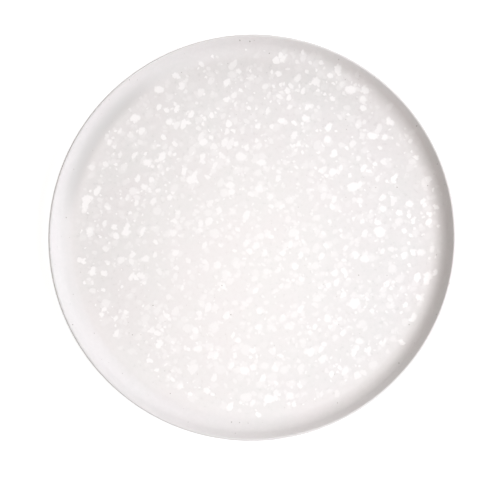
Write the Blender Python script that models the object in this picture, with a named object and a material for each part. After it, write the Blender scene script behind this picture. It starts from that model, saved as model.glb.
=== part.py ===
"""Charger plate: a coupe plate with a flat well, a cove, a short steep wall and a round lip.

The plate lies on its foot ring. Z = 0 is the plane that the foot stands on, +Z is up, and the
turning axis of the plate is the Z axis. All sizes are in metres.

The plate is a fired clay body with three coats of glaze on it: one on the face and over the
lip, one on the back and one inside the foot ring. The bottom of the foot ring is bare clay.
"""

import math

import bmesh
import bpy

# Overall sizes, outside of the glaze
PLATE_DIAMETER = 0.330
WELL_FLAT_RADIUS = 0.1470  # the flat part of the well
WELL_TOP = 0.0100  # the top of the glaze in the well
INNER_SLOPE = math.radians(61)  # of the wall's inside, from the horizontal
OUTER_SLOPE = math.radians(70)  # of its outside, so that it thins towards the lip
WALL_RUN = 0.0078  # the straight part of the wall's inside, along its slope
LIP_THICKNESS = 0.0022  # over both coats

# Clay and glaze
GLAZE_GAP = 0.0003  # between the clay and the back of a coat, and between two coats
GLAZE_THICKNESS = 0.0004
COVE_THICKNESS = 0.0038  # of the clay where the flat of the well ends
OUTER_COVE = 0.0150  # radius of the outside, from the wall round into the underside
UNDERSIDE_SLOPE = math.radians(3)  # the underside falls towards the foot

# Foot ring
FOOT_RADIUS = 0.1120  # the clay's outer wall
FOOT_WIDTH = 0.0058
FOOT_EDGE = 0.0011  # the rounding of the foot's two lower edges
FOOT_FILLET = 0.0016  # where the foot meets the underside
FOOT_BARE = 0.0015  # how high the bare band on the foot's wall reaches
RECESS_HEIGHT = 0.0042  # the clay inside the foot ring, above the table

# How finely the profile is turned
SEGMENTS = 64
COVE_STEPS = 6
EDGE_STEPS = 2

QUARTER = math.pi / 2
COAT_TOP = GLAZE_GAP + GLAZE_THICKNESS  # the coat's outer face, above the clay
SEAM = GLAZE_GAP / (LIP_THICKNESS / 2)  # the gap between two coats on the lip, as an angle

# The inside, worked back from the lip's centre to the end of the cove and to its radius
CLAY_LIP = LIP_THICKNESS / 2 - COAT_TOP
CLAY_FLOOR = WELL_TOP - COAT_TOP
LIP_CENTRE_R = PLATE_DIAMETER / 2 - LIP_THICKNESS / 2
COVE_END_R = (
    LIP_CENTRE_R
    - CLAY_LIP * math.sin(INNER_SLOPE)
    - WALL_RUN * math.cos(INNER_SLOPE)
)
CLAY_COVE = (COVE_END_R - WELL_FLAT_RADIUS) / math.sin(INNER_SLOPE)
COVE_CENTRE_Z = CLAY_FLOOR + CLAY_COVE
COVE_END_Z = COVE_CENTRE_Z - CLAY_COVE * math.cos(INNER_SLOPE)
LIP_CENTRE_Z = (
    COVE_END_Z + WALL_RUN * math.sin(INNER_SLOPE) - CLAY_LIP * math.cos(INNER_SLOPE)
)


def outward(slope):
    """The direction that the outside faces where it has this slope."""
    return math.sin(slope), -math.cos(slope)


def outer_cove_centre():
    """The centre of the outside's curve, which touches the outer wall and the underside."""
    wall, under = outward(OUTER_SLOPE), outward(UNDERSIDE_SLOPE)
    on_wall = (LIP_CENTRE_R + CLAY_LIP * wall[0], LIP_CENTRE_Z + CLAY_LIP * wall[1])
    on_under = (WELL_FLAT_RADIUS, CLAY_FLOOR - COVE_THICKNESS)
    a = wall[0] * on_wall[0] + wall[1] * on_wall[1] - OUTER_COVE
    b = under[0] * on_under[0] + under[1] * on_under[1] - OUTER_COVE
    scale = wall[0] * under[1] - wall[1] * under[0]
    return (
        (a * under[1] - b * wall[1]) / scale,
        (b * wall[0] - a * under[0]) / scale,
    )


def arc(centre, radius, start, end, steps):
    """Points on an arc in the profile's plane, both ends among them."""
    return [
        (
            centre[0] + radius * math.cos(start + (end - start) * i / steps),
            centre[1] + radius * math.sin(start + (end - start) * i / steps),
        )
        for i in range(steps + 1)
    ]


def face_curve(above):
    """The face's profile, from the axis over the lip's crest to its outermost point."""
    lip = (LIP_CENTRE_R, LIP_CENTRE_Z)
    points = [(0.0, CLAY_FLOOR + above)]
    points += arc(
        (WELL_FLAT_RADIUS, COVE_CENTRE_Z),
        CLAY_COVE - above,
        -QUARTER,
        -QUARTER + INNER_SLOPE,
        COVE_STEPS,
    )
    points += arc(lip, CLAY_LIP + above, QUARTER + INNER_SLOPE, QUARTER, 3)
    return points + arc(lip, CLAY_LIP + above, QUARTER, 0.0, 4)[1:]


def foot_fillet(above):
    """The concave rounding from the underside into the foot's outer wall."""
    radius = FOOT_FILLET - above
    under = outward(UNDERSIDE_SLOPE)
    corner_r = FOOT_RADIUS + above
    corner_z = CLAY_FLOOR - COVE_THICKNESS
    corner_z += (above - under[0] * (corner_r - WELL_FLAT_RADIUS)) / under[1]
    # the corner is a little under a right angle, because the underside slopes
    reach = radius * math.tan((QUARTER - UNDERSIDE_SLOPE) / 2)
    centre = (corner_r + radius, corner_z - reach)
    return arc(centre, radius, QUARTER + UNDERSIDE_SLOPE, math.pi, EDGE_STEPS)


def back_curve(above, start):
    """The outside's profile, from an angle on the lip to the foot's outer wall."""
    points = arc(
        (LIP_CENTRE_R, LIP_CENTRE_Z),
        CLAY_LIP + above,
        start,
        OUTER_SLOPE - QUARTER,
        EDGE_STEPS,
    )
    points += arc(
        outer_cove_centre(),
        OUTER_COVE + above,
        OUTER_SLOPE - QUARTER,
        UNDERSIDE_SLOPE - QUARTER,
        COVE_STEPS,
    )
    return points + foot_fillet(above)


def base_curve(above):
    """The underside inside the foot ring, from the foot's inner wall to the axis."""
    inner = FOOT_RADIUS - FOOT_WIDTH
    radius = FOOT_FILLET - above
    points = arc(
        (inner - above - radius, RECESS_HEIGHT - above - radius),
        radius,
        0.0,
        QUARTER,
        EDGE_STEPS,
    )
    return points + [(0.0, RECESS_HEIGHT - above)]


def clay_profile():
    """The clay's whole profile, from the well's middle round to the base's middle."""
    inner = FOOT_RADIUS - FOOT_WIDTH
    points = face_curve(0.0)
    points += back_curve(0.0, 0.0)[1:]
    points += arc(
        (FOOT_RADIUS - FOOT_EDGE, FOOT_EDGE), FOOT_EDGE, 0.0, -QUARTER, EDGE_STEPS
    )
    points += arc(
        (inner + FOOT_EDGE, FOOT_EDGE), FOOT_EDGE, -QUARTER, -math.pi, EDGE_STEPS
    )
    return points + base_curve(0.0)


def face_profile():
    """The face coat: its top, its edge on the outside of the lip and its back."""
    return face_curve(COAT_TOP) + face_curve(GLAZE_GAP)[::-1]


def back_profile():
    """The back coat: a closed ring from the lip to the foot's outer wall."""
    top = back_curve(COAT_TOP, -SEAM)
    back = back_curve(GLAZE_GAP, -SEAM)
    # both faces run straight down the foot's wall to the bare band
    top.append((FOOT_RADIUS + COAT_TOP, FOOT_BARE))
    back.append((FOOT_RADIUS + GLAZE_GAP, FOOT_BARE))
    return top + back[::-1]


def base_profile():
    """The coat inside the foot ring: a disc whose edge turns down along the foot."""
    inner = FOOT_RADIUS - FOOT_WIDTH
    top = [(inner - GLAZE_GAP, FOOT_BARE)] + base_curve(GLAZE_GAP)
    face = [(inner - COAT_TOP, FOOT_BARE)] + base_curve(COAT_TOP)
    return face[::-1] + top


def material(name, colour, roughness):
    made = bpy.data.materials.new(name)
    made.use_nodes = True
    shader = made.node_tree.nodes["Principled BSDF"]
    shader.inputs["Base Color"].default_value = (*colour, 1.0)
    shader.inputs["Roughness"].default_value = roughness
    shader.inputs["Metallic"].default_value = 0.0
    made.diffuse_color = (*colour, 1.0)
    return made


def turned(name, profile, closed, finish, parent):
    """Turns a profile about the Z axis into one closed solid."""
    shape = bmesh.new()
    verts = [shape.verts.new((r, 0.0, z)) for r, z in profile]
    pairs = list(zip(verts, verts[1:]))
    if closed:
        pairs.append((verts[-1], verts[0]))
    edges = [shape.edges.new(pair) for pair in pairs]
    bmesh.ops.spin(
        shape,
        geom=verts + edges,
        cent=(0.0, 0.0, 0.0),
        axis=(0.0, 0.0, 1.0),
        dvec=(0.0, 0.0, 0.0),
        angle=2 * math.pi,
        steps=SEGMENTS,
        use_merge=True,
        use_duplicate=False,
    )
    bmesh.ops.remove_doubles(shape, verts=shape.verts[:], dist=0.00002)
    bmesh.ops.recalc_face_normals(shape, faces=shape.faces[:])
    mesh = bpy.data.meshes.new(name)
    shape.to_mesh(mesh)
    shape.free()
    mesh.shade_smooth()
    mesh.set_sharp_from_angle(angle=math.radians(35))
    mesh.materials.append(finish)
    made = bpy.data.objects.new(name, mesh)
    bpy.context.scene.collection.objects.link(made)
    made.parent = parent
    return made


def main():
    for old in list(bpy.data.objects):
        bpy.data.objects.remove(old, do_unlink=True)

    plate = bpy.data.objects.new("charger_plate", None)
    bpy.context.scene.collection.objects.link(plate)

    clay = material("bare_clay", (0.76, 0.70, 0.62), 0.85)
    flecked = material("flecked_glaze", (0.83, 0.81, 0.79), 0.38)
    plain = material("plain_glaze", (0.80, 0.78, 0.75), 0.35)

    turned("clay_body", clay_profile(), False, clay, plate)
    turned("face_glaze", face_profile(), False, flecked, plate)
    turned("back_glaze", back_profile(), True, plain, plate)
    turned("base_glaze", base_profile(), False, plain, plate)


main()
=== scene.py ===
"""Looks of the charger plate: turned clay body, flecked face glaze, plain back and base glaze.

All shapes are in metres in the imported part's own frame: the plate lies on its foot at Z = 0.
"""

import math

import bmesh
import bpy
from mathutils import Matrix, Vector, noise


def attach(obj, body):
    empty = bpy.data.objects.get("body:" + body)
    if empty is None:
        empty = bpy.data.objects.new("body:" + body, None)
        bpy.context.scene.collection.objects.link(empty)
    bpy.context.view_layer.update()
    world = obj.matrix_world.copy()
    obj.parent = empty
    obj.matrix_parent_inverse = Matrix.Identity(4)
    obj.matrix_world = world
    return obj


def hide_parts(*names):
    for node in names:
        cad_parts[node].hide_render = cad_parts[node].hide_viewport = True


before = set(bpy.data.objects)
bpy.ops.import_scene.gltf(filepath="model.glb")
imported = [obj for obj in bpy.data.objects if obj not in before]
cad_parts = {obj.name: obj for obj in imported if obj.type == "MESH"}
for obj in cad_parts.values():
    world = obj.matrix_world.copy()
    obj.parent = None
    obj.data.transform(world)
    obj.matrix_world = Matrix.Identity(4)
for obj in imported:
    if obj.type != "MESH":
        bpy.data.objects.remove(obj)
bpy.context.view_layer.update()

# ---------------------------------------------------------------- sizes, as in the part
PLATE_RADIUS = 0.165
WELL_FLAT_RADIUS = 0.1470
WELL_TOP = 0.0100
INNER_SLOPE = math.radians(61)
OUTER_SLOPE = math.radians(70)
WALL_RUN = 0.0078
LIP_THICKNESS = 0.0022
COAT_TOP = 0.0007  # the coat's outer face above the clay
COAT_BACK = 0.00004  # its inner face, which all but touches the clay
COVE_THICKNESS = 0.0038
OUTER_COVE = 0.0150
UNDERSIDE_SLOPE = math.radians(3)
FOOT_RADIUS = 0.1120
FOOT_WIDTH = 0.0058
FOOT_EDGE = 0.0011
FOOT_FILLET = 0.0016
FOOT_BARE = 0.0015
RECESS_HEIGHT = 0.0042
LIP_SPLIT = math.radians(-6)  # the coats meet under the lip's outermost point

QUARTER = math.pi / 2
CLAY_LIP = LIP_THICKNESS / 2 - COAT_TOP
CLAY_FLOOR = WELL_TOP - COAT_TOP
LIP_CENTRE_R = PLATE_RADIUS - LIP_THICKNESS / 2
COVE_END_R = (
    LIP_CENTRE_R
    - CLAY_LIP * math.sin(INNER_SLOPE)
    - WALL_RUN * math.cos(INNER_SLOPE)
)
CLAY_COVE = (COVE_END_R - WELL_FLAT_RADIUS) / math.sin(INNER_SLOPE)
COVE_CENTRE_Z = CLAY_FLOOR + CLAY_COVE
COVE_END_Z = COVE_CENTRE_Z - CLAY_COVE * math.cos(INNER_SLOPE)
LIP_CENTRE_Z = (
    COVE_END_Z + WALL_RUN * math.sin(INNER_SLOPE) - CLAY_LIP * math.cos(INNER_SLOPE)
)
SEGMENTS = 320


# ---------------------------------------------------------------- profiles
def outward(slope):
    return math.sin(slope), -math.cos(slope)


def outer_cove_centre():
    wall, under = outward(OUTER_SLOPE), outward(UNDERSIDE_SLOPE)
    on_wall = (LIP_CENTRE_R + CLAY_LIP * wall[0], LIP_CENTRE_Z + CLAY_LIP * wall[1])
    on_under = (WELL_FLAT_RADIUS, CLAY_FLOOR - COVE_THICKNESS)
    a = wall[0] * on_wall[0] + wall[1] * on_wall[1] - OUTER_COVE
    b = under[0] * on_under[0] + under[1] * on_under[1] - OUTER_COVE
    scale = wall[0] * under[1] - wall[1] * under[0]
    return (
        (a * under[1] - b * wall[1]) / scale,
        (b * wall[0] - a * under[0]) / scale,
    )


def arc(centre, radius, start, end, steps):
    return [
        (
            centre[0] + radius * math.cos(start + (end - start) * i / steps),
            centre[1] + radius * math.sin(start + (end - start) * i / steps),
        )
        for i in range(steps + 1)
    ]


def line(a, b, steps):
    """Points from a to b, without a and with b."""
    return [
        (a[0] + (b[0] - a[0]) * i / steps, a[1] + (b[1] - a[1]) * i / steps)
        for i in range(1, steps + 1)
    ]


def face_curve(above, well_steps, cove_steps, lip_steps, split=LIP_SPLIT):
    points = [(0.0, CLAY_FLOOR + above)]
    cove = arc(
        (WELL_FLAT_RADIUS, COVE_CENTRE_Z),
        CLAY_COVE - above,
        -QUARTER,
        -QUARTER + INNER_SLOPE,
        cove_steps,
    )
    lip = arc(
        (LIP_CENTRE_R, LIP_CENTRE_Z),
        CLAY_LIP + above,
        QUARTER + INNER_SLOPE,
        split,
        lip_steps,
    )
    points += line(points[0], cove[0], well_steps)
    points += cove[1:]
    points += line(cove[-1], lip[0], 5)
    return points + lip[1:]


def foot_fillet(above, steps):
    radius = FOOT_FILLET - above
    under = outward(UNDERSIDE_SLOPE)
    corner_r = FOOT_RADIUS + above
    corner_z = CLAY_FLOOR - COVE_THICKNESS
    corner_z += (above - under[0] * (corner_r - WELL_FLAT_RADIUS)) / under[1]
    reach = radius * math.tan((QUARTER - UNDERSIDE_SLOPE) / 2)
    centre = (corner_r + radius, corner_z - reach)
    return arc(centre, radius, QUARTER + UNDERSIDE_SLOPE, math.pi, steps)


def back_curve(above, lip_steps, cove_steps, under_steps, foot_steps, split=LIP_SPLIT):
    lip = arc(
        (LIP_CENTRE_R, LIP_CENTRE_Z),
        CLAY_LIP + above,
        split,
        OUTER_SLOPE - QUARTER,
        lip_steps,
    )
    cove = arc(
        outer_cove_centre(),
        OUTER_COVE + above,
        OUTER_SLOPE - QUARTER,
        UNDERSIDE_SLOPE - QUARTER,
        cove_steps,
    )
    foot = foot_fillet(above, foot_steps)
    points = lip + line(lip[-1], cove[0], 5) + cove[1:]
    return points + line(cove[-1], foot[0], under_steps) + foot[1:]


def base_curve(above, foot_steps, base_steps):
    inner = FOOT_RADIUS - FOOT_WIDTH
    radius = FOOT_FILLET - above
    points = arc(
        (inner - above - radius, RECESS_HEIGHT - above - radius),
        radius,
        0.0,
        QUARTER,
        foot_steps,
    )
    return points + line(points[-1], (0.0, RECESS_HEIGHT - above), base_steps)


def clay_profile():
    inner = FOOT_RADIUS - FOOT_WIDTH
    points = face_curve(0.0, 6, 14, 12)
    points += back_curve(0.0, 3, 14, 4, 6)[1:]
    foot = arc((FOOT_RADIUS - FOOT_EDGE, FOOT_EDGE), FOOT_EDGE, 0.0, -QUARTER, 7)
    points += line(points[-1], foot[0], 3) + foot[1:]
    edge = arc((inner + FOOT_EDGE, FOOT_EDGE), FOOT_EDGE, -QUARTER, -math.pi, 7)
    points += line(foot[-1], edge[0], 5) + edge[1:]
    base = base_curve(0.0, 6, 6)
    return points + line(edge[-1], base[0], 3) + base[1:]


def face_profile():
    """The face coat's top, then its back, and how many of the points are its top."""
    top = face_curve(COAT_TOP, 40, 30, 26)
    back = face_curve(COAT_BACK, 8, 14, 10)
    return top + back[::-1], len(top)


def bead(wall_r, side):
    """The coat's rounded lower edge on the foot's wall; side is +1 outside and -1 inside."""
    points = []
    thick = COAT_TOP - COAT_BACK
    for i in range(1, 8):
        a = QUARTER * i / 8
        points.append(
            (
                wall_r + side * (COAT_BACK + thick * math.cos(a)),
                FOOT_BARE + thick * 0.8 * (1 - math.sin(a)),
            )
        )
    return points


def back_profile():
    top = back_curve(COAT_TOP, 4, 26, 12, 8)
    back = back_curve(COAT_BACK, 3, 14, 4, 6)
    start = (FOOT_RADIUS + COAT_TOP, FOOT_BARE + (COAT_TOP - COAT_BACK) * 0.8)
    top += line(top[-1], start, 2) + bead(FOOT_RADIUS, 1)
    back.append((FOOT_RADIUS + COAT_BACK, FOOT_BARE))
    return top + back[::-1], len(top)


def base_profile():
    inner = FOOT_RADIUS - FOOT_WIDTH
    start = (inner - COAT_TOP, FOOT_BARE + (COAT_TOP - COAT_BACK) * 0.8)
    face = base_curve(COAT_TOP, 8, 24)
    face = bead(inner, -1)[::-1] + [start] + line(start, face[0], 2) + face[1:]
    back = [(inner - COAT_BACK, FOOT_BARE)] + base_curve(COAT_BACK, 6, 6)
    return face[::-1] + back, len(face)


# ---------------------------------------------------------------- meshes
def wavy(x, y):
    """The small unevenness of a pressed and fired plate, as a drop in metres."""
    broad = noise.noise(Vector((x * 9.0, y * 9.0, 3.7)))
    fine = noise.noise(Vector((x * 34.0, y * 34.0, 11.2)))
    return 0.00009 * (broad - 1.0) + 0.00003 * (fine - 1.0)


def laid_out(profile, shown):
    """For each point of a coat's profile, its place along a radius of the coat's flat map.

    The shown side is laid out at its own length as a disc or ring that fills the map, and the
    hidden side as a small one in the map's corner.
    """
    runs = []
    for part in (profile[:shown], profile[shown:][::-1]):
        far = [0.0]
        for a, b in zip(part, part[1:]):
            far.append(far[-1] + math.dist(a, b))
        if part[0][0] < 1e-6:  # from the axis outwards
            widest = far[-1]
        else:  # from the outer edge inwards
            widest = max(far[-1], part[0][0])
            far = [widest - f for f in far]
        runs.append([f / widest for f in far])
    return runs[0] + runs[1][::-1]


def turned(name, profile, closed, shown=0):
    """Turns a profile about the Z axis; a coat, which has a shown side, also gets its flat map."""
    shape = bmesh.new()
    layer = shape.loops.layers.uv.new("OFBake") if shown else None
    places = laid_out(profile, shown) if shown else None
    rings = []
    for r, z in profile:
        if r < 1e-7:
            rings.append([shape.verts.new((0.0, 0.0, z))])
            continue
        ring = []
        for i in range(SEGMENTS):
            a = 2 * math.pi * i / SEGMENTS
            ring.append(shape.verts.new((r * math.cos(a), r * math.sin(a), z)))
        rings.append(ring)

    def spot(k, i):
        """The map's point for the profile's point k at the turn's step i."""
        a = 2 * math.pi * i / SEGMENTS
        if k < shown:
            middle, size = (0.5, 0.5), 0.492
        else:
            middle, size = (0.066, 0.066), 0.060
        return (
            middle[0] + size * places[k] * math.cos(a),
            middle[1] + size * places[k] * math.sin(a),
        )

    pairs = [(k, k + 1) for k in range(len(rings) - 1)]
    if closed:
        pairs.append((len(rings) - 1, 0))
    for k, m in pairs:
        one, two = rings[k], rings[m]
        for i in range(SEGMENTS):
            j = (i + 1) % SEGMENTS
            if len(one) == 1 and len(two) == 1:
                break
            if len(one) == 1:
                corners = ((one[0], k, i), (two[i], m, i), (two[j], m, i + 1))
            elif len(two) == 1:
                corners = ((one[i], k, i), (two[0], m, i), (one[j], k, i + 1))
            else:
                corners = (
                    (one[i], k, i),
                    (two[i], m, i),
                    (two[j], m, i + 1),
                    (one[j], k, i + 1),
                )
            face = shape.faces.new([v for v, _, _ in corners])
            if layer is None:
                continue
            # a strip between the shown and the hidden side is laid out with the hidden one
            hidden = [q for _, q, _ in corners if q >= shown]
            for loop, (_, q, t) in zip(face.loops, corners):
                loop[layer].uv = spot(hidden[0] if hidden and q < shown else q, t)
    for v in shape.verts:
        x, y, z = v.co
        # the foot stands on the table, so the unevenness grows from there upwards
        share = min(1.0, max(0.0, (z - 0.0026) / 0.003))
        v.co.z += wavy(x, y) * share
    bmesh.ops.recalc_face_normals(shape, faces=shape.faces[:])
    mesh = bpy.data.meshes.new(name)
    shape.to_mesh(mesh)
    shape.free()
    mesh.shade_smooth()
    mesh.set_sharp_from_angle(angle=math.radians(50))
    made = bpy.data.objects.new(name, mesh)
    bpy.context.scene.collection.objects.link(made)
    return made


# ---------------------------------------------------------------- materials
class Nodes:
    """A few short ways to make nodes in one material."""

    def __init__(self, name):
        self.material = bpy.data.materials.new(name)
        self.material.use_nodes = True
        self.tree = self.material.node_tree
        self.shader = self.tree.nodes["Principled BSDF"]

    def add(self, kind, **values):
        made = self.tree.nodes.new(kind)
        for key, value in values.items():
            setattr(made, key, value)
        return made

    def put(self, socket, value):
        if hasattr(value, "is_output"):
            self.tree.links.new(value, socket)
        else:
            socket.default_value = value

    def maths(self, operation, a, b=0.0, c=0.0, clamp=False):
        made = self.add("ShaderNodeMath", operation=operation, use_clamp=clamp)
        for socket, value in zip(made.inputs, (a, b, c)):
            self.put(socket, value)
        return made.outputs[0]

    def vector(self, operation, a, b=None, scale=None):
        made = self.add("ShaderNodeVectorMath", operation=operation)
        self.put(made.inputs[0], a)
        if b is not None:
            self.put(made.inputs[1], b)
        if scale is not None:
            self.put(made.inputs["Scale"], scale)
        return made.outputs["Value" if operation in ("LENGTH", "DOT_PRODUCT") else "Vector"]

    def noise(self, at, scale, detail=2.0, rough=0.5, colour=False):
        made = self.add("ShaderNodeTexNoise", noise_dimensions="3D")
        self.put(made.inputs["Vector"], at)
        made.inputs["Scale"].default_value = scale
        made.inputs["Detail"].default_value = detail
        made.inputs["Roughness"].default_value = rough
        return made.outputs["Color" if colour else "Fac"]

    def between(self, value, low, high, to_low=0.0, to_high=1.0, smooth=True):
        made = self.add("ShaderNodeMapRange", clamp=True)
        made.interpolation_type = "SMOOTHSTEP" if smooth else "LINEAR"
        for key, given in (
            ("Value", value),
            ("From Min", low),
            ("From Max", high),
            ("To Min", to_low),
            ("To Max", to_high),
        ):
            self.put(made.inputs[key], given)
        return made.outputs["Result"]

    def mix(self, share, a, b):
        made = self.add("ShaderNodeMix", data_type="RGBA", blend_type="MIX")
        self.put(made.inputs[0], share)
        self.put(made.inputs[6], a if hasattr(a, "is_output") else (*a, 1.0))
        self.put(made.inputs[7], b if hasattr(b, "is_output") else (*b, 1.0))
        return made.outputs[2]

    def spots(self, at, cell, small, large, power, share, soft, fade=None):
        """Round spots, one at most in each cell of a scatter, sizes in millimetres.

        share is the part of the cells that hold a spot; it can be a socket that reads the
        spot's own middle through fade, a function of that point.
        """
        cells = self.add(
            "ShaderNodeTexVoronoi", voronoi_dimensions="2D", feature="F1"
        )
        self.put(cells.inputs["Vector"], at)
        cells.inputs["Scale"].default_value = 1.0 / cell
        cells.inputs["Randomness"].default_value = 1.0
        dice = self.add("ShaderNodeSeparateColor")
        self.tree.links.new(cells.outputs["Color"], dice.inputs[0])
        size = self.maths("POWER", dice.outputs[0], power)
        size = self.maths("MULTIPLY_ADD", size, large - small, small)
        away = self.maths("MULTIPLY", cells.outputs["Distance"], cell)
        shape = self.between(self.maths("SUBTRACT", size, away), -soft, soft)
        wanted = share
        if fade is not None:
            wanted = self.maths("MULTIPLY", fade(cells.outputs["Position"]), share)
        there = self.maths("LESS_THAN", dice.outputs[1], wanted)
        return self.maths("MULTIPLY", shape, there), dice.outputs[2]


def millimetres(n):
    """The point on the plate in millimetres, and its distance from the axis."""
    at = n.add("ShaderNodeTexCoord").outputs["Object"]
    at = n.vector("SCALE", at, scale=1000.0)
    flat = n.vector("MULTIPLY", at, (1.0, 1.0, 0.0))
    return at, flat, n.vector("LENGTH", flat)


def shaken(n, at, size, by, detail=2.0):
    """A point moved about by a noise, to make round things irregular."""
    push = n.noise(at, 1.0 / size, detail, 0.6, colour=True)
    push = n.vector("SUBTRACT", push, (0.5, 0.5, 0.5))
    push = n.vector("MULTIPLY", push, (by, by, 0.0))
    return n.vector("ADD", at, push)


# The flecks were thrown on a little off the plate's middle
FLECKED_MIDDLE = (6.0, 7.0, 0.0)
FLECKED_RADIUS = 148.0
# Painted tone for the light: the flecks' contrast is lowered in the middle of the well and below it,
# where the light falls brightest
BRIGHT_LIGHT_MIDDLE = (15.0, -30.0, 0.0)
# cell, smallest and largest radius, bias to the small, share of cells, soft edge, faintest and
# strongest, the direction in degrees in which the flecks are drawn out, and by how much
FLECKS = (
    (19.0, 2.4, 4.0, 1.4, 0.45, 0.90, 0.35, 1.0, 0.0, 1.15),
    (10.5, 1.5, 2.7, 1.2, 0.52, 0.60, 0.35, 1.0, 65.0, 1.50),
    (9.4, 1.3, 2.4, 1.2, 0.46, 0.50, 0.35, 1.0, -35.0, 1.30),
    (6.2, 0.80, 1.45, 1.2, 0.32, 0.38, 0.40, 1.0, 0.0, 1.0),
    (4.4, 0.50, 0.85, 1.0, 0.08, 0.28, 0.45, 1.0, 0.0, 1.0),
    (8.3, 1.5, 3.0, 1.0, 0.60, 1.10, 0.10, 0.60, 30.0, 1.30),
    (5.1, 0.9, 1.7, 1.0, 0.48, 0.65, 0.10, 0.60, -60.0, 1.20),
)


# Painted shade: a greyer stretch put into the glaze's colour along one side of the cove
# direction, where it starts and is full round the plate, the radii over which it comes in and
# goes out, strength, colour
COVE_PAINTED_SHADE = (
    ((-0.940, 0.342, 0.0), 0.50, 0.85, (147.0, 154.0), (154.5, 160.0), 0.40, (0.622, 0.600, 0.586)),
    ((-0.848, 0.530, 0.0), 0.87, 0.990, (144.5, 152.0), (152.5, 162.5), 0.72, (0.545, 0.525, 0.512)),
)


def drawn_out(n, at, turn, by):
    """The point in a frame where lengths along one direction are cut down by a factor."""
    c, s = math.cos(math.radians(turn)), math.sin(math.radians(turn))
    part = n.add("ShaderNodeCombineXYZ")
    n.put(part.inputs[0], n.vector("DOT_PRODUCT", at, (c / by, s / by, 0.0)))
    n.put(part.inputs[1], n.vector("DOT_PRODUCT", at, (-s, c, 0.0)))
    return part.outputs[0]


def put_back(n, at, turn, by):
    """The opposite of drawn_out."""
    c, s = math.cos(math.radians(turn)), math.sin(math.radians(turn))
    part = n.add("ShaderNodeCombineXYZ")
    n.put(part.inputs[0], n.vector("DOT_PRODUCT", at, (c * by, -s, 0.0)))
    n.put(part.inputs[1], n.vector("DOT_PRODUCT", at, (s * by, c, 0.0)))
    return part.outputs[0]


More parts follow.
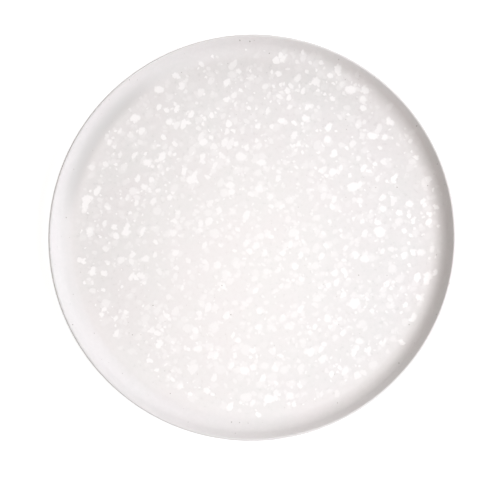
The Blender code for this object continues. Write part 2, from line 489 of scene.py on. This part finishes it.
def glaze(name, flecked):
    """Satin pale glaze: mottled base, thin on the lip, dark specks, flecks in the well, and painted
    shade on one side of the cove and lip and on the back.
    """
    n = Nodes(name)
    at, flat, r = millimetres(n)
    round_it = n.vector("NORMALIZE", flat)
    place = n.add("ShaderNodeSeparateXYZ")
    n.put(place.inputs[0], at)

    # the base: very pale warm grey, cloudy at several scales, and on the back a shade deeper, which
    # is painted shade on the outer wall and underside
    if flecked:
        one, two, pale = (0.788, 0.748, 0.740), (0.776, 0.752, 0.738), (0.828, 0.792, 0.784)
    else:
        one, two, pale = (0.712, 0.672, 0.652), (0.698, 0.670, 0.648), (0.758, 0.720, 0.702)
    cloud = n.noise(at, 1.0 / 38.0, 3.0, 0.55)
    mottle = n.noise(at, 1.0 / 3.6, 3.0, 0.6)
    grain = n.noise(at, 1.0 / 0.9, 2.0, 0.6)
    colour = n.mix(n.between(cloud, 0.32, 0.68), one, two)
    colour = n.mix(n.between(mottle, 0.35, 0.70, 0.0, 0.55), colour, pale)
    deep = tuple(0.95 * v for v in two)
    colour = n.mix(n.between(grain, 0.52, 0.78, 0.0, 0.30), colour, deep)

    height = n.maths("MULTIPLY", mottle, 0.35)
    rough = n.between(mottle, 0.3, 0.7, 0.27, 0.33)
    # the coat lies thinner, and so less glossy, on the cove and the wall
    rough = n.maths("ADD", rough, n.between(r, 144.0, 150.5, 0.0, 0.30))

    if flecked:
        # painted shade along one side of the cove, as a greyer stretch of the colour, and its
        # darkest part
        for way, low, high, inner, outer, share, grey in COVE_PAINTED_SHADE:
            side = n.between(n.vector("DOT_PRODUCT", round_it, way), low, high)
            side = n.maths("MULTIPLY", side, n.between(r, *inner))
            side = n.maths("MULTIPLY", side, n.between(r, *outer, 1.0, 0.0))
            colour = n.mix(n.maths("MULTIPLY", side, share), colour, grey)

        loose = shaken(n, flat, 8.0, 4.6)
        loose = shaken(n, loose, 2.6, 2.4)
        loose = shaken(n, loose, 1.3, 0.9)

        def fade(middle):
            """How much of the flecks' share there is at this point: they lie in drifts."""
            patch = n.noise(middle, 1.0 / 28.0, 2.0, 0.5)
            patch = n.between(patch, 0.34, 0.66, 0.45, 1.40)
            clump = n.between(n.noise(middle, 1.0 / 10.0, 1.0, 0.5), 0.36, 0.64, 0.40, 1.60)
            patch = n.maths("MULTIPLY", patch, clump)
            lean = n.vector("DOT_PRODUCT", middle, (-0.50, 0.87, 0.0))
            patch = n.maths("MULTIPLY", patch, n.between(lean, 10.0, 115.0, 1.0, 1.35))
            off = n.vector("LENGTH", n.vector("SUBTRACT", middle, FLECKED_MIDDLE))
            edge = n.between(off, FLECKED_RADIUS - 6.0, FLECKED_RADIUS + 4.0, 1.0, 0.0)
            return n.maths("MULTIPLY", patch, edge)

        # painted tone for the light: crisp flecks fainter and cloudy ones stronger where the light
        # on the well is brightest
        off = n.vector("LENGTH", n.vector("SUBTRACT", flat, BRIGHT_LIGHT_MIDDLE))
        crisp = n.between(off, 60.0, 140.0, 0.72, 1.0)
        cloudy = n.between(off, 60.0, 140.0, 0.80, 0.55)
        white = None
        for cell, small, large, power, share, soft, faint, strong, turn, by in FLECKS:
            shift = (cell * 37.0, cell * 11.0, 0.0)
            offset = drawn_out(n, n.vector("ADD", loose, shift), turn, by)

            def placed(middle, shift=shift, turn=turn, by=by):
                return fade(n.vector("SUBTRACT", put_back(n, middle, turn, by), shift))

            spot, dice = n.spots(offset, cell, small, large, power, share, soft, placed)
            spot = n.maths(
                "MULTIPLY", spot, n.between(dice, 0.0, 0.65, faint, strong, smooth=False)
            )
            spot = n.maths("MULTIPLY", spot, crisp if strong == 1.0 else cloudy)
            white = spot if white is None else n.maths("MAXIMUM", white, spot)
        # a fleck is a little uneven inside
        white = n.maths("MULTIPLY", white, n.between(grain, 0.25, 0.6, 0.86, 1.0))
        colour = n.mix(white, colour, (0.974, 0.944, 0.934))
        height = n.maths("MULTIPLY_ADD", white, 0.8, height)
        rough = n.maths("MULTIPLY_ADD", white, 0.06, rough)
        # the odd pinhole in the well
        pin, dice = n.spots(flat, 10.0, 0.20, 0.48, 1.5, 0.16, 0.12)
        pin = n.maths("MULTIPLY", pin, n.between(dice, 0.0, 1.0, 0.15, 0.55, False))
        colour = n.mix(pin, colour, (0.470, 0.440, 0.415))

    # the coat runs thin over the crest of the lip and the clay darkens it; the darkening is
    # strongest on one side, where it is painted shade of the lip turning from the light
    lip = LIP_CENTRE_Z * 1000.0
    thin = n.between(r, 162.4, 163.4)
    thin = n.maths("MULTIPLY", thin, n.between(r, 164.0, 164.9, 1.0, 0.4))
    thin = n.maths("MULTIPLY", thin, n.between(place.outputs[2], lip - 1.4, lip - 0.2))
    thin = n.maths("MULTIPLY", thin, n.between(mottle, 0.30, 0.65, 0.35, 0.75))
    # painted shade: the lip's darkening is raised on the side that turns away from the key light
    side = n.vector("DOT_PRODUCT", round_it, (-1.0, 0.0, 0.0))
    thin = n.maths("MULTIPLY", thin, n.between(side, 0.45, 0.90, 0.12, 1.0))
    colour = n.mix(thin, colour, (0.600, 0.580, 0.566))

    # tiny dark specks, more of them where the coat is plain
    jittered = shaken(n, at, 0.8, 0.35)
    if flecked:
        share = n.between(r, 142.0, 152.0, 0.05, 0.20)
    else:
        share = 0.16
    speck, dice = n.spots(jittered, 8.0, 0.16, 0.52, 2.0, share, 0.12)
    speck = n.maths("MULTIPLY", speck, n.between(dice, 0.0, 1.0, 0.35, 0.9, False))
    colour = n.mix(speck, colour, (0.235, 0.195, 0.160))

    n.put(n.shader.inputs["Base Color"], colour)
    n.put(n.shader.inputs["Roughness"], rough)
    n.shader.inputs["IOR"].default_value = 1.5
    bump = n.add("ShaderNodeBump")
    bump.inputs["Strength"].default_value = 0.25
    bump.inputs["Distance"].default_value = 0.00006
    n.put(bump.inputs["Height"], height)
    n.put(n.shader.inputs["Normal"], bump.outputs["Normal"])
    return n.material


def bare_clay():
    """Unglazed stoneware: buff, grainy, rubbed a little greyer on the standing edge."""
    n = Nodes("bare_stoneware")
    at, flat, r = millimetres(n)
    cloud = n.noise(at, 1.0 / 14.0, 3.0, 0.55)
    grain = n.noise(at, 1.0 / 0.45, 3.0, 0.65)
    grit = n.noise(at, 1.0 / 1.6, 2.0, 0.6)
    colour = n.mix(n.between(cloud, 0.3, 0.7), (0.640, 0.560, 0.465), (0.700, 0.625, 0.530))
    colour = n.mix(n.between(grain, 0.45, 0.75, 0.0, 0.5), colour, (0.760, 0.700, 0.620))
    colour = n.mix(n.between(grit, 0.60, 0.75, 0.0, 0.45), colour, (0.470, 0.390, 0.310))
    part = n.add("ShaderNodeSeparateXYZ")
    n.put(part.inputs[0], at)
    worn = n.between(part.outputs[2], 0.0, 0.5, 0.40, 0.0)
    colour = n.mix(worn, colour, (0.560, 0.520, 0.475))
    n.put(n.shader.inputs["Base Color"], colour)
    n.put(n.shader.inputs["Roughness"], n.between(grain, 0.3, 0.7, 0.82, 0.95))
    n.shader.inputs["IOR"].default_value = 1.45
    bump = n.add("ShaderNodeBump")
    bump.inputs["Strength"].default_value = 0.6
    bump.inputs["Distance"].default_value = 0.00015
    n.put(bump.inputs["Height"], grain)
    n.put(n.shader.inputs["Normal"], bump.outputs["Normal"])
    return n.material


# ---------------------------------------------------------------- the plate
flecked_glaze = glaze("flecked_satin_glaze", True)
plain_glaze = glaze("plain_satin_glaze", False)
stoneware = bare_clay()

for node, (profile, shown), closed, finish, slot in (
    ("clay_body", (clay_profile(), 0), False, stoneware, "bare_clay"),
    ("face_glaze", face_profile(), False, flecked_glaze, "flecked_glaze"),
    ("back_glaze", back_profile(), True, plain_glaze, "plain_glaze"),
    ("base_glaze", base_profile(), False, plain_glaze, "plain_glaze"),
):
    piece = turned("plate_" + node, profile, closed, shown)
    piece.data.materials.append(finish)
    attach(piece, "root")
    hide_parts(node)


# ---------------------------------------------------------------- floor
floor_mesh = bpy.data.meshes.new("floor")
floor_shape = bmesh.new()
bmesh.ops.create_grid(floor_shape, x_segments=8, y_segments=8, size=12.0)
bmesh.ops.translate(floor_shape, verts=floor_shape.verts[:], vec=(0.0, 0.0, -0.0002))
floor_shape.to_mesh(floor_mesh)
floor_shape.free()
floor = bpy.data.objects.new("floor", floor_mesh)
bpy.context.scene.collection.objects.link(floor)
paper = Nodes("white_paper")
paper_at = paper.add("ShaderNodeTexCoord").outputs["Object"]
paper_tone = paper.noise(paper_at, 6.0, 2.0, 0.5)
paper.put(
    paper.shader.inputs["Base Color"],
    paper.mix(paper_tone, (0.50, 0.50, 0.50), (0.52, 0.52, 0.52)),
)
paper.shader.inputs["Roughness"].default_value = 0.9
paper.shader.inputs["Specular IOR Level"].default_value = 0.1
paper.shader.inputs["Emission Color"].default_value = (1.0, 1.0, 1.0, 1.0)
paper.shader.inputs["Emission Strength"].default_value = 0.74
floor_mesh.materials.append(paper.material)


# ---------------------------------------------------------------- light
def softbox(name, place, target, width, height, watts, colour):
    data = bpy.data.lights.new(name, "AREA")
    data.shape = "RECTANGLE"
    data.size, data.size_y = width, height
    data.energy = watts
    data.color = colour
    lamp = bpy.data.objects.new(name, data)
    way = Vector(target) - Vector(place)
    lamp.matrix_world = (
        Matrix.Translation(place) @ way.to_track_quat("-Z", "Y").to_matrix().to_4x4()
    )
    bpy.context.scene.collection.objects.link(lamp)
    return lamp


# a large key and a lower side light from the right, a small front light, two along the top and
# one low in front
for name, place, width, height, watts, colour in (
    ("key", (0.773, -0.281, 1.133), 1.0, 0.4, 13.8, (0.964, 0.970, 1.0)),
    ("side", (1.150, -0.420, 0.780), 1.0, 0.6, 3.20, (0.640, 0.815, 1.0)),
    ("front", (-0.090, 0.010, 1.150), 0.54, 0.36, 4.28, (1.0, 0.956, 0.895)),
    ("top", (0.300, 1.600, 0.700), 1.4, 0.5, 6.90, (0.980, 0.973, 1.0)),
    ("top_right", (1.300, 1.300, 0.600), 0.8, 0.5, 4.20, (0.850, 0.918, 1.0)),
    ("low", (0.620, -1.690, 0.600), 0.8, 0.5, 3.10, (1.0, 0.915, 0.875)),
):
    softbox(name, place, (0.0, 0.0, 0.0), width, height, watts, colour)

# a pale band of room round the horizon, dark above
world = bpy.data.worlds.new("studio")
world.use_nodes = True
links, nodes = world.node_tree.links, world.node_tree.nodes
way = nodes.new("ShaderNodeSeparateXYZ")
links.new(nodes.new("ShaderNodeTexCoord").outputs["Generated"], way.inputs[0])
band = nodes.new("ShaderNodeMapRange")
band.interpolation_type = "SMOOTHSTEP"
links.new(way.outputs[2], band.inputs["Value"])
for key, given in (("From Min", 0.05), ("From Max", 0.30), ("To Min", 0.60), ("To Max", 0.0)):
    band.inputs[key].default_value = given
links.new(band.outputs["Result"], nodes["Background"].inputs["Strength"])
nodes["Background"].inputs["Color"].default_value = (1.0, 0.985, 0.965, 1.0)
bpy.context.scene.world = world
bpy.context.scene.view_settings.view_transform = "Standard"
bpy.context.scene.view_settings.look = "None"


# ---------------------------------------------------------------- camera
LENS, SENSOR, PICTURE = 100.0, 36.0, 500.0
RIM_PIXELS = 203.75  # radius of the plate in the picture
CENTRE_PIXELS = (252.15, 237.75)  # its middle
camera_data = bpy.data.cameras.new("camera")
camera_data.lens, camera_data.sensor_width = LENS, SENSOR
camera = bpy.data.objects.new("camera", camera_data)
bpy.context.scene.collection.objects.link(camera)
pixel_focus = LENS / SENSOR * PICTURE
RIGHT, ABOVE = math.radians(3.0), math.radians(-4.5)  # where the camera stands, off the axis


def aim_camera(right, above):
    """Points the camera at the plate so that its rim takes up its place in the picture."""
    way = Vector((math.tan(right), math.tan(above), 1.0)).normalized()
    side = Vector((0.0, 1.0, 0.0)).cross(way).normalized()
    up = way.cross(side)
    aim = Vector((0.0, 0.0, LIP_CENTRE_Z))
    reach = PLATE_RADIUS * pixel_focus / RIM_PIXELS
    for _ in range(8):
        place = aim + way * reach
        seen = []
        for i in range(180):
            a = 2 * math.pi * i / 180
            rim = Vector((PLATE_RADIUS * math.cos(a), PLATE_RADIUS * math.sin(a), LIP_CENTRE_Z))
            off = rim - place
            scale = pixel_focus / -off.dot(way)
            seen.append((PICTURE / 2 + off.dot(side) * scale, PICTURE / 2 - off.dot(up) * scale))
        left, top = min(x for x, _ in seen), min(y for _, y in seen)
        wide, low = max(x for x, _ in seen), max(y for _, y in seen)
        one_pixel = reach / pixel_focus
        aim -= side * (CENTRE_PIXELS[0] - (left + wide) / 2) * one_pixel
        aim += up * (CENTRE_PIXELS[1] - (top + low) / 2) * one_pixel
        reach *= (wide - left) / 2 / RIM_PIXELS
    camera.matrix_world = Matrix.Translation(aim + way * reach) @ Matrix(
        (side, up, way)
    ).transposed().to_4x4()


aim_camera(RIGHT, ABOVE)
bpy.context.scene.camera = camera
